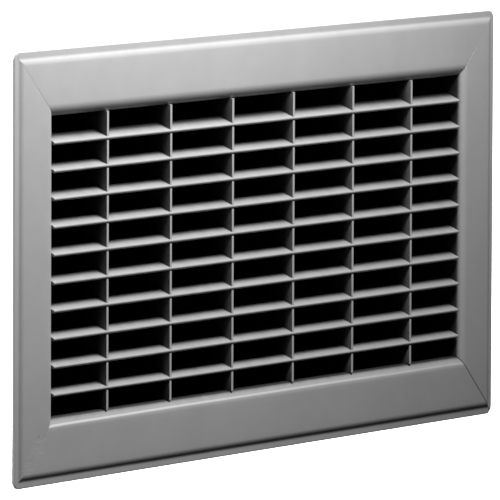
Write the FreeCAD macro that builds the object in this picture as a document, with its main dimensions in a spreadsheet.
import FreeCAD, Part
import math
import os
import Sketcher

# Louvred air grille in pressed sheet steel, for a nominal 14 x 6 inch duct opening.
# Frame: +X across the width, +Z up, and the face looks toward -Y.
# Origin: centre of the grille, on the wall plane (the back of the outer lip).
# All lengths are millimetres and all angles are degrees.

doc = FreeCAD.newDocument("LouvredGrille")
sheet = doc.addObject("Spreadsheet::Sheet", "Dims")

# alias, value, meaning
DIMENSIONS = [
    ("overall_width", 400.05, "overall width of the flange"),
    ("overall_height", 196.85, "overall height of the flange"),
    ("flange_width", 30.1625, "flange width, outer edge to the opening"),
    ("lip_width", 3.2, "flat outer lip"),
    ("bevel_run", 1.9, "width of the bevel between lip and face"),
    ("relief", 0.95, "height of the face above the lip"),
    ("gauge", 1.2, "sheet thickness of the frame members"),
    ("dish_run", 3.48, "width of the sloped band where the face dips toward the opening"),
    ("dish_drop", 2.0, "how far that band drops behind the face"),
    ("dish_bend", 8.0, "outside radius where the face starts to dip"),
    ("inner_bend", 3.0, "outside radius of the turn-down into the opening"),
    ("small_bend", 2.0, "radius at the two edges of the bevel"),
    ("lip_edge", 0.3, "rounding of the outer front edge of the lip"),
    ("corner_round", 4.5, "plan radius of the outer corners"),
    ("collar_depth", 17.5, "depth of the collar behind the wall plane"),
    ("cut_margin", 12.0, "how far the mitre cut runs past the blank"),
    ("blade_count", 10, "number of blades"),
    ("blade_pitch", 12.7, "blade spacing"),
    ("blade_chord", 9.525, "blade width, front edge to rear edge"),
    ("blade_gauge", 1.6, "blade thickness"),
    ("blade_edge", 0.68, "rounding of the blade's long edges"),
    ("blade_tilt", 22.0, "blade tilt, front edge low"),
    ("blade_gap", 0.4, "gap from each blade end to the collar wall"),
    ("blade_proud", 0.3, "how far the blades stand in front of the bars"),
    ("core_front", -1.2, "front edge of the bars behind the wall plane, negative in front of it"),
    ("blade_drop", 1.47, "how far each blade's front edge sits below its pitch line"),
    ("bar_count", 6, "number of support bars"),
    ("bar_pitch", 50.8, "support bar spacing"),
    ("bar_depth", 12.7, "support bar depth"),
    ("bar_gauge", 1.6, "support bar thickness"),
    ("bar_edge", 0.35, "rounding of the bar's front corners"),
    ("slot_play", 0.05, "clearance on each side of a blade in its slot"),
    ("slot_overrun", 3.0, "how far a slot's cut runs past the blade's front edge"),
    ("tab_setback", 8.0, "centre of the end tabs behind the wall plane"),
    ("tab_width", 6.0, "width of the end tabs"),
    ("tab_play", 0.1, "total clearance of a tab in its slot in the collar wall"),
    ("stake_height", 0.8, "height of the upset tab end outside the collar"),
    ("stake_spread", 0.55, "how far the upset end spreads past the tab"),
    ("weld_face", 0.75, "radius of the bead along the back of a mitre"),
    ("weld_collar", 1.1, "radius of the bead down a collar corner"),
    ("weld_toe", 6.6, "end of the mitre bead short of the opening edge"),
    ("weld_offset", 0.12, "distance of a bead's axis off the steel it lies on"),
    ("weld_lead", 2.4, "start of the collar bead behind the wall plane"),
    ("weld_start", 9.0, "start of the mitre bead from the outer edge"),
    ("weld_stop", 4.0, "end of the collar bead short of the collar's rear edge"),
    ("screw_radius", 2.1, "radius of the screw holes in the collar's top and bottom"),
    ("screw_spacing", 203.2, "spacing of the two screw holes in each wall"),
    ("screw_setback", 13.0, "screw hole centres behind the wall plane"),
]
for row, (alias, value, note) in enumerate(DIMENSIONS, 1):
    sheet.set("A%d" % row, note)
    sheet.set("B%d" % row, repr(value))
    sheet.setAlias("B%d" % row, alias)
doc.recompute()


# ---- sizes that carry their sheet expression --------------------------------------------
class Size:
    """A number together with the sheet expression that gives it."""

    def __init__(self, value, text):
        self.value = float(value)
        self.text = text

    def __add__(self, other):
        other = as_size(other)
        return Size(self.value + other.value, "(%s + %s)" % (self.text, other.text))

    def __sub__(self, other):
        other = as_size(other)
        return Size(self.value - other.value, "(%s - %s)" % (self.text, other.text))

    def __mul__(self, other):
        other = as_size(other)
        return Size(self.value * other.value, "(%s * %s)" % (self.text, other.text))

    def __truediv__(self, other):
        other = as_size(other)
        return Size(self.value / other.value, "(%s / %s)" % (self.text, other.text))

    def __neg__(self):
        return Size(-self.value, "(-1 * %s)" % self.text)


def as_size(item):
    return item if isinstance(item, Size) else Size(item, repr(float(item)))


def cell(alias):
    return Size(sheet.get(alias), "Dims.%s" % alias)


def signed(sign, item):
    item = as_size(item)
    return item if sign > 0 else -item


def cosine(angle):
    return Size(math.cos(math.radians(angle.value)), "cos(%s)" % angle.text)


def sine(angle):
    return Size(math.sin(math.radians(angle.value)), "sin(%s)" % angle.text)


def tangent(angle):
    return Size(math.tan(math.radians(angle.value)), "tan(%s)" % angle.text)


def slope_angle(rise, run):
    slope = rise / run
    return Size(math.degrees(math.atan(slope.value)), "atan(%s)" % slope.text)


def square_root(number):
    return Size(math.sqrt(number), "sqrt(%r)" % number)


# ---- document helpers -------------------------------------------------------------------
def bind(item, name, size):
    """Set a property and tie it to the sheet."""
    setattr(item, name, size.value)
    item.setExpression(name, size.text)


def put(item, base, rotation):
    """Place an object, tying each coordinate given as a Size to the sheet."""
    item.Placement = FreeCAD.Placement(
        FreeCAD.Vector(*[as_size(size).value for size in base]), rotation)
    for axis, size in zip("xyz", base):
        if isinstance(size, Size):
            item.setExpression("Placement.Base.%s" % axis, size.text)


def new_body(name):
    body = doc.addObject("PartDesign::Body", name)
    body.Label = name
    return body


def new_sketch(body, role, name):
    plane = [item for item in body.Origin.OriginFeatures if item.Role == role][0]
    sketch = body.newObject("Sketcher::SketchObject", name)
    sketch.AttachmentSupport = [(plane, "")]
    sketch.MapMode = "FlatFace"
    return sketch


def flat_point(across, up):
    return FreeCAD.Vector(as_size(across).value, as_size(up).value, 0)


def join(sketch, *ends):
    sketch.addConstraint(Sketcher.Constraint("Coincident", *ends))


def drive(sketch, kind, geo, pos, item):
    """Hold one coordinate of a point at a sheet-driven distance from the origin."""
    item = as_size(item)
    if abs(item.value) < 1e-9:
        axis = -2 if kind == "DistanceX" else -1
        sketch.addConstraint(Sketcher.Constraint("PointOnObject", geo, pos, axis))
        return
    index = sketch.addConstraint(Sketcher.Constraint(kind, -1, 1, geo, pos, item.value))
    sketch.setExpression("Constraints[%d]" % index, item.text)


def drive_point(sketch, geo, pos, point):
    drive(sketch, "DistanceX", geo, pos, point[0])
    drive(sketch, "DistanceY", geo, pos, point[1])


def drive_radius(sketch, geo, radius):
    index = sketch.addConstraint(Sketcher.Constraint("Radius", geo, radius.value))
    sketch.setExpression("Constraints[%d]" % index, radius.text)


def polygon(sketch, points):
    """Closed outline with every corner driven from the sheet."""
    corners = [flat_point(*point) for point in points]
    first = sketch.GeometryCount
    total = len(corners)
    for k in range(total):
        sketch.addGeometry(Part.LineSegment(corners[k], corners[(k + 1) % total]), False)
    for k in range(total):
        join(sketch, first + k, 2, first + (k + 1) % total, 1)
    for k, point in enumerate(points):
        drive_point(sketch, first + k, 1, point)


def rectangle(sketch, left, right, low, high):
    polygon(sketch, [(left, low), (right, low), (right, high), (left, high)])


def pad(body, sketch, name, length):
    feature = body.newObject("PartDesign::Pad", name)
    feature.Profile = sketch
    feature.SideType = "Symmetric"
    bind(feature, "Length", length)
    doc.recompute()
    return feature


def pocket(body, sketch, name, length, both=True, reverse=False):
    before = body.Shape.Volume
    feature = body.newObject("PartDesign::Pocket", name)
    feature.Profile = sketch
    if both:
        feature.SideType = "Symmetric"
    feature.Reversed = reverse
    bind(feature, "Length", length)
    doc.recompute()
    if not body.Shape.Volume < before - 1e-3:
        raise RuntimeError("%s cut nothing" % name)
    return feature


def repeat(body, cut, name, axis, pitch, count):
    """Repeat a pocket along an axis of its own sketch."""
    pattern = body.newObject("PartDesign::LinearPattern", name)
    pattern.Originals = [cut]
    pattern.Direction = (cut.Profile[0], [axis])
    pattern.Mode = "Spacing"
    bind(pattern, "Offset", pitch)
    pattern.Occurrences = int(count.value)
    pattern.setExpression("Occurrences", count.text)
    body.Tip = pattern


def edges_along(shape, axis, places):
    """Names of the straight edges along an axis that pass through given places."""
    names = []
    others = [k for k in range(3) if k != axis]
    for number, edge in enumerate(shape.Edges, 1):
        if edge.Curve.TypeId != "Part::GeomLine":
            continue
        start, end = edge.Vertexes[0].Point, edge.Vertexes[-1].Point
        if max(abs(start[k] - end[k]) for k in others) > 1e-4:
            continue
        for place in places:
            if max(abs(start[others[j]] - place[j]) for j in range(2)) < 1e-3:
                names.append("Edge%d" % number)
    return names


def fillet(body, base, name, axis, places, radius):
    """Round the edges along an axis (0 for X, 2 for Z) at places on the other two."""
    spots = [flat_point(*place) for place in places]
    names = edges_along(base.Shape, axis, spots)
    if len(names) != len(places):
        raise RuntimeError("%s found %d of %d edges" % (name, len(names), len(places)))
    feature = body.newObject("PartDesign::Fillet", name)
    feature.Base = (base, names)
    bind(feature, "Radius", radius)
    doc.recompute()
    return feature


# ---- sizes shared by several pieces -----------------------------------------------------
half_width = cell("overall_width") / 2
half_height = cell("overall_height") / 2
flange = cell("flange_width")
gauge = cell("gauge")
relief = cell("relief")
depth = cell("collar_depth")
opening_half_width = half_width - flange
opening_half_height = half_height - flange

chord = cell("blade_chord")
blade_half = cell("blade_gauge") / 2
blade_pitch = cell("blade_pitch")
blade_count = cell("blade_count")
blade_drop = cell("blade_drop")
tilt = cell("blade_tilt")
blade_front = cell("core_front") - cell("blade_proud")

bar_pitch = cell("bar_pitch")
bar_count = cell("bar_count")
bar_half = cell("bar_gauge") / 2
tab_half = cell("tab_width") / 2
tab_back = cell("tab_setback")


# ---- frame members: one pressed section, mitred at both ends ----------------------------
def mitre_outline(sketch, along, across, spot):
    """Waste at one end: a 45 degree mitre, and the outer corner's rounding in plan.

    spot turns distances along and across the member into sketch coordinates.
    """
    radius = cell("corner_round")
    margin = cell("cut_margin")
    reach = flange + margin
    leg = radius * square_root(0.5)
    corners = [
        spot(along - radius + leg, across - radius + leg),
        spot(along - reach, across - reach),
        spot(along + margin, across - reach),
        spot(along + margin, across + margin),
        spot(along - radius, across + margin),
        spot(along - radius, across)]
    centre = spot(along - radius, across - radius)
    points = [flat_point(*corner) for corner in corners]
    middle = flat_point(*centre)
    first = sketch.GeometryCount
    last = first + 4
    for k in range(5):
        sketch.addGeometry(Part.LineSegment(points[k], points[k + 1]), False)

    # the arc closes the outline; arcs run anticlockwise, so its ends depend on the corner
    low, high = [math.atan2(point.y - middle.y, point.x - middle.x)
                 for point in (points[5], points[0])]
    forward = (high - low) % (2 * math.pi) < math.pi
    if not forward:
        low, high = high, low
    if high < low:
        high += 2 * math.pi
    circle = Part.Circle(middle, FreeCAD.Vector(0, 0, 1), radius.value)
    arc = sketch.addGeometry(Part.ArcOfCircle(circle, low, high), False)
    for k in range(4):
        join(sketch, first + k, 2, first + k + 1, 1)
    join(sketch, last, 2, arc, 1 if forward else 2)
    join(sketch, first, 1, arc, 2 if forward else 1)
    drive_point(sketch, arc, 3, centre)
    drive_radius(sketch, arc, radius)
    return first, corners


def cut_mitres(body, name, horizontal, side, along, across):
    sketch = new_sketch(body, "XZ_Plane", name + "_mitres")
    for end in (1, -1):
        def spot(lengthwise, outward):
            lengthwise, outward = signed(end, lengthwise), signed(side, outward)
            return (lengthwise, outward) if horizontal else (outward, lengthwise)

        first, corners = mitre_outline(sketch, along, across, spot)
        # the arc's ends already lie on its circle, so one coordinate fixes each
        kind, index = ("DistanceX", 0) if horizontal else ("DistanceY", 1)
        drive(sketch, kind, first, 1, corners[0][index])
        drive(sketch, kind, first + 4, 2, corners[5][index])
        for k in (1, 2, 3, 4):
            drive_point(sketch, first + k, 1, corners[k])
    pocket(body, sketch, name + "_mitre_cut", (depth + cell("cut_margin")) * 2)


def frame_member(name, horizontal, side):
    """One side of the flange with its collar wall. side is +1 for top or right."""
    body = new_body(name)
    # across: centre to outer edge; along: half the member's length
    across, along = (half_height, half_width) if horizontal else (half_width, half_height)

    def place(inward, forward):
        """Inward from the outer edge and forward from the wall plane."""
        edge = signed(side, across - inward)
        front = -as_size(forward)
        return (front, edge) if horizontal else (edge, front)

    lip = cell("lip_width")
    bevel_run = cell("bevel_run")
    shoulder = lip + bevel_run
    top = gauge + relief
    bevel_shift = gauge * tangent(slope_angle(relief, bevel_run) / 2)

    # the face dips toward the opening before the sheet turns down into the collar
    dish_run, dish_drop = cell("dish_run"), cell("dish_drop")
    half_dip = slope_angle(dish_drop, dish_run) / 2
    dip_shift = gauge * tangent(half_dip)
    turn_shift = gauge * tangent(Size(45, "45 deg") - half_dip)
    outer_dip = (flange - dish_run, top)
    outer_turn = (flange, top - dish_drop)
    inner_dip = (flange - dish_run - dip_shift, relief)
    inner_turn = (flange - gauge, top - dish_drop - turn_shift)
    section = [
        (0, 0), (0, gauge), (lip, gauge), (shoulder, top), outer_dip, outer_turn,
        (flange, -depth), (flange - gauge, -depth), inner_turn, inner_dip,
        (shoulder + bevel_shift, relief), (lip + bevel_shift, 0)]
    sketch = new_sketch(body, "YZ_Plane" if horizontal else "XY_Plane", name + "_section")
    polygon(sketch, [place(*point) for point in section])
    step = pad(body, sketch, name + "_blank", along * 2)

    turn_bend, dish_bend = cell("inner_bend"), cell("dish_bend")
    bends = [
        ("_bend_out", [outer_turn], turn_bend),
        ("_bend_in", [inner_turn], turn_bend - gauge),
        ("_dip_out", [outer_dip], dish_bend),
        ("_dip_in", [inner_dip], dish_bend - gauge),
        ("_bevel_bends", [(lip, gauge), (shoulder, top)], cell("small_bend")),
        ("_lip_edge", [(0, gauge)], cell("lip_edge"))]
    axis = 0 if horizontal else 2
    for suffix, points, radius in bends:
        step = fillet(body, step, name + suffix, axis,
                      [place(*point) for point in points], radius)

    cut_mitres(body, name, horizontal, side, along, across)
    return body


def rail(name, side):
    """Top or bottom member, with tab slots and two screw holes in the collar wall."""
    body = frame_member(name, True, side)
    play = cell("tab_play") / 2
    slot_half_x = bar_half + play
    slot_half_y = tab_half + play
    first_x = -(bar_pitch * (bar_count - 1) / 2)
    sketch = new_sketch(body, "XY_Plane", name + "_slot_outline")
    rectangle(sketch, first_x - slot_half_x, first_x + slot_half_x,
              tab_back - slot_half_y, tab_back + slot_half_y)
    cut = pocket(body, sketch, name + "_slot", half_height, both=False, reverse=(side > 0))
    repeat(body, cut, name + "_slots", "H_Axis", bar_pitch, bar_count)
    doc.recompute()

    sketch = new_sketch(body, "XY_Plane", name + "_screw_holes")
    radius = cell("screw_radius")
    for end in (1, -1):
        centre = (signed(end, cell("screw_spacing") / 2), cell("screw_setback"))
        circle = Part.Circle(flat_point(*centre), FreeCAD.Vector(0, 0, 1), radius.value)
        ring = sketch.addGeometry(circle, False)
        drive_radius(sketch, ring, radius)
        drive_point(sketch, ring, 3, centre)
    pocket(body, sketch, name + "_screw_cut", half_height, both=False, reverse=(side > 0))
    return body


# ---- louvre blades ----------------------------------------------------------------------
def louvre_blade(number):
    """Flat strip with rounded long edges, tilted about its front edge; 1 is the top one."""
    name = "louvre_blade_%02d" % number
    body = new_body(name)
    sketch = new_sketch(body, "YZ_Plane", name + "_section")
    section = [(0, -blade_half), (chord, -blade_half), (chord, blade_half), (0, blade_half)]
    polygon(sketch, section)
    strip = pad(body, sketch, name + "_strip", (opening_half_width - cell("blade_gap")) * 2)
    fillet(body, strip, name + "_edges", 0, section, cell("blade_edge"))
    level = blade_pitch * ((blade_count + 1) / 2 - number) - blade_drop
    put(body, (0, blade_front, level), FreeCAD.Rotation(FreeCAD.Vector(1, 0, 0), tilt.value))
    body.setExpression("Placement.Rotation.Angle", tilt.text)
    return body


# ---- support bars -----------------------------------------------------------------------
def bar_plate(body, name, inside, outside):
    """Plate on edge with a tab at each end and rounded front corners."""
    front = cell("core_front") - tab_back
    rear = front + cell("bar_depth")
    sketch = new_sketch(body, "YZ_Plane", name + "_outline")
    polygon(sketch, [
        (front, -inside), (-tab_half, -inside), (-tab_half, -outside), (tab_half, -outside),
        (tab_half, -inside), (rear, -inside), (rear, inside), (tab_half, inside),
        (tab_half, outside), (-tab_half, outside), (-tab_half, inside), (front, inside)])
    plate = pad(body, sketch, name + "_plate", cell("bar_gauge"))
    fillet(body, plate, name + "_front_corners", 2,
           [(bar_half, front), (-bar_half, front)], cell("bar_edge"))


def bar_stakes(body, name, outside):
    """Upset tab ends outside the collar walls."""
    spread = cell("stake_spread")
    wide = bar_half + spread
    sketch = new_sketch(body, "XZ_Plane", name + "_stake_outline")
    for end in (1, -1):
        rectangle(sketch, -wide, wide,
                  signed(end, outside), signed(end, outside + cell("stake_height")))
    pad(body, sketch, name + "_stakes", cell("tab_width") + spread * 2)


def bar_slots(body, name):
    """Blade slots, open at the front edge and sloping up toward the rear."""
    play = cell("slot_play")
    start_y = blade_front - tab_back
    start_z = -(blade_pitch * (blade_count - 1) / 2) - blade_drop
    tilt_cos, tilt_sin = cosine(tilt), sine(tilt)

    def slot_point(run, lift):
        """A point given along the blade's chord and square to it."""
        return (start_y + tilt_cos * run - tilt_sin * lift,
                start_z + tilt_sin * run + tilt_cos * lift)

    near, far = -cell("slot_overrun"), chord + play
    slot_half = blade_half + play
    sketch = new_sketch(body, "YZ_Plane", name + "_slot_outline")
    polygon(sketch, [slot_point(near, -slot_half), slot_point(far, -slot_half),
                     slot_point(far, slot_half), slot_point(near, slot_half)])
    cut = pocket(body, sketch, name + "_slot", cell("bar_gauge") * 4)
    repeat(body, cut, name + "_slots", "V_Axis", blade_pitch, blade_count)


def support_bar(number):
    """Slotted bar staked at both ends; its origin is midway between its tabs' centres."""
    name = "support_bar_%d" % number
    body = new_body(name)
    inside = opening_half_height
    outside = inside + gauge
    bar_plate(body, name, inside, outside)
    bar_stakes(body, name, outside)
    bar_slots(body, name)
    across = bar_pitch * (as_size(number) - (bar_count + 1) / 2)
    put(body, (across, tab_back, 0), FreeCAD.Rotation())
    doc.recompute()
    return body


# ---- welds ------------------------------------------------------------------------------
def bead(name, radius, length, start, direction, members):
    """The part of a round bead that stands proud of the two members it joins."""
    rod = doc.addObject("Part::Cylinder", name + "_round")
    bind(rod, "Radius", radius)
    bind(rod, "Height", length)
    put(rod, start, FreeCAD.Rotation(FreeCAD.Vector(0, 0, 1), FreeCAD.Vector(*direction)))
    trim = doc.addObject("Part::Cut", name + "_trim")
    trim.Base = rod
    trim.Tool = members[0]
    weld = doc.addObject("Part::Cut", name)
    weld.Base = trim
    weld.Tool = members[1]
    weld.Label = name
    return weld


def corner_weld(place, side_x, side_z, members):
    """Bead running rearward along the outside of a collar corner."""
    offset = gauge + cell("weld_offset")
    lead = cell("weld_lead")
    start = (signed(side_x, opening_half_width + offset), lead,
             signed(side_z, opening_half_height + offset))
    return bead("corner_weld_" + place, cell("weld_collar"),
                depth - cell("weld_stop") - lead, start, (0, 1, 0), members)


def mitre_weld(place, side_x, side_z, members):
    """Bead running diagonally outward along the back of a mitre."""
    toe = cell("weld_toe")
    start = (signed(side_x, opening_half_width + toe), cell("weld_offset") - relief,
             signed(side_z, opening_half_height + toe))
    length = (flange - toe - cell("weld_start")) * square_root(2)
    return bead("mitre_weld_" + place, cell("weld_face"), length, start,
                (side_x, 0, side_z), members)


# ---- build ------------------------------------------------------------------------------
top_rail = rail("top_rail", 1)
bottom_rail = rail("bottom_rail", -1)
left_stile = frame_member("left_stile", False, -1)
right_stile = frame_member("right_stile", False, 1)
nodes = [top_rail, bottom_rail, left_stile, right_stile]

for number in range(1, int(blade_count.value) + 1):
    nodes.append(louvre_blade(number))
doc.recompute()

for number in range(1, int(bar_count.value) + 1):
    nodes.append(support_bar(number))

for word_z, side_z, rail_body in (("top", 1, top_rail), ("bottom", -1, bottom_rail)):
    for word_x, side_x, stile_body in (("left", -1, left_stile), ("right", 1, right_stile)):
        for weld in (corner_weld, mitre_weld):
            nodes.append(weld("%s_%s" % (word_z, word_x), side_x, side_z,
                              (rail_body, stile_body)))
doc.recompute()

# ---- check everything, then write one file per node -------------------------------------
for item in doc.Objects:
    bad = [state for state in item.State if state in ("Invalid", "Error")]
    if bad:
        raise RuntimeError("%s is %s" % (item.Name, bad))
for node in nodes:
    shape = node.Shape
    if shape.isNull() or not shape.isValid():
        raise RuntimeError("%s has no valid shape" % node.Label)
    if len(shape.Solids) != 1:
        raise RuntimeError("%s holds %d solids" % (node.Label, len(shape.Solids)))
os.makedirs("parts", exist_ok=True)
for node in nodes:
    node.Shape.exportStep("parts/%s.step" % node.Label)
